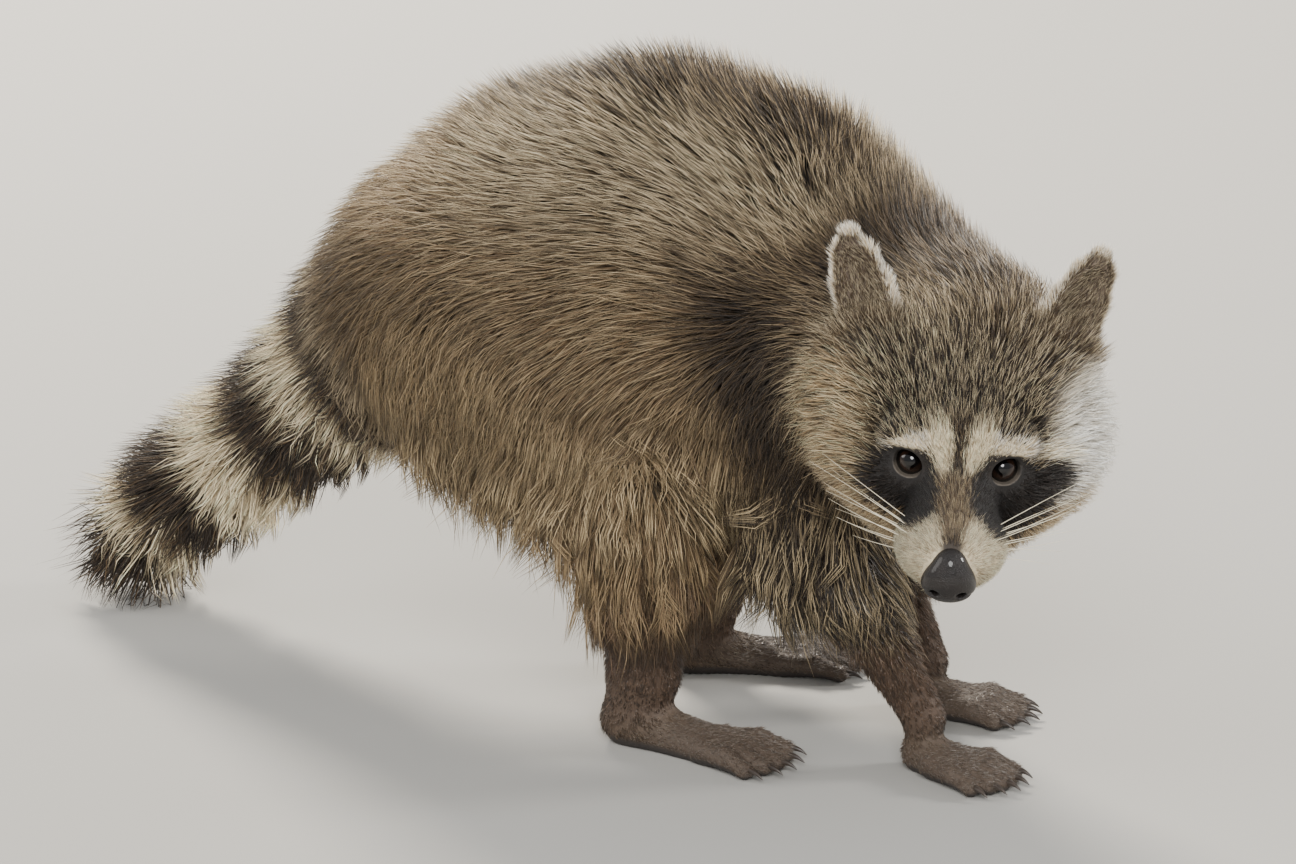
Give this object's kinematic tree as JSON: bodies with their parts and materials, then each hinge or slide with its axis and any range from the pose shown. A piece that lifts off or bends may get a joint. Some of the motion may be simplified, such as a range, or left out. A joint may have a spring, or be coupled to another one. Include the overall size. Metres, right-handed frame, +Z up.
{
  "type": "raccoon",
  "caption": "Life-size raccoon in a low foraging walk, head lowered and turned to its right, ringed tail trailing to the floor.",
  "frame": {"origin": "centre of the whole animal's bounding box in plan, on the floor it stands on", "axes": "+X the way the trunk faces, +Y the animal's left, +Z up"},
  "size_m": [0.5832, 0.239, 0.319],
  "materials": {
    "coat": "grizzled brown guard hair, cream bands and dark tips over dark underfur",
    "face": "short dense hair, black mask, cream brows, cheeks and muzzle",
    "ear": "short grey-brown hair with a cream rim",
    "tail": "bushy hair in dark and buff rings, dark tip",
    "leg": "short dark brown hair, damp",
    "paw": "short grey-brown hair over dark bare skin",
    "nose": "moist pebbled black skin",
    "eye": "glassy, nearly black brown",
    "claw": "smooth dark horn",
    "whisker": "stiff cream hair"
  },
  "bodies": {
    "root": {"trunk": "coat", "neck": "coat", "tail_root": "tail", "tail_middle": "tail", "tail_tip": "tail", "hindleg_right_upper": "leg", "hindleg_right_lower": "leg", "hindpaw_right": "paw", "hindleg_left_upper": "leg", "hindleg_left_lower": "leg", "hindpaw_left": "paw", "foreleg_right_upper": "leg", "foreleg_right_lower": "leg", "forepaw_right": "paw", "foreleg_left_upper": "leg", "foreleg_left_lower": "leg", "forepaw_left": "paw", "head": "face", "ear_right": "ear", "ear_left": "ear", "eye_right": "eye", "eye_left": "eye", "nose": "nose"}
  },
  "joints": []
}
